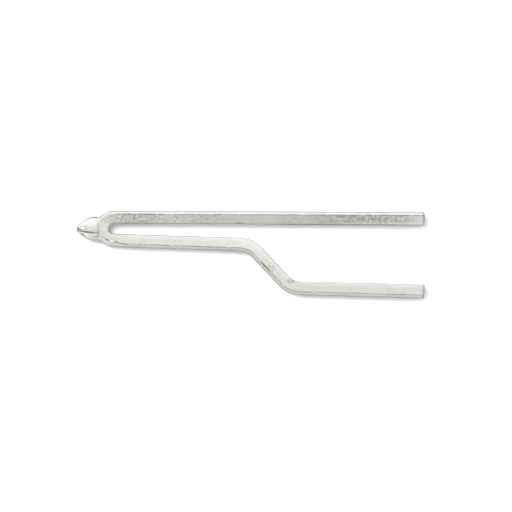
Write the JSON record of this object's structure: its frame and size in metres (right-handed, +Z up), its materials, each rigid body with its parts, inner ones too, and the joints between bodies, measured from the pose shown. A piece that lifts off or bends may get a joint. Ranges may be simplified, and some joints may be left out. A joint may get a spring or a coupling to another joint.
{
  "type": "divot repair tool",
  "caption": "Plated steel hairpin fork with a straight prong, an offset prong and a cross-fluted point on the bend.",
  "frame": {"origin": "bottom centre of the tool's box, as it lies on its side", "axes": "+X from the point to the prongs' free ends, +Y from the offset prong to the straight one, +Z up through the bar's depth"},
  "size_m": [0.089, 0.0226, 0.0063],
  "materials": {
    "bar_plating": "nickel-plated, faintly mottled, with worn edges",
    "point_plating": "bright plated, with darker flutes",
    "pin_steel": "peened, dull",
    "braze_filler": "filler under plating, slightly rippled"
  },
  "bodies": {
    "root": {"fork_bar": "bar_plating", "cross_point": "point_plating", "tenon_pin": "pin_steel", "braze_collar": "braze_filler"}
  },
  "joints": []
}
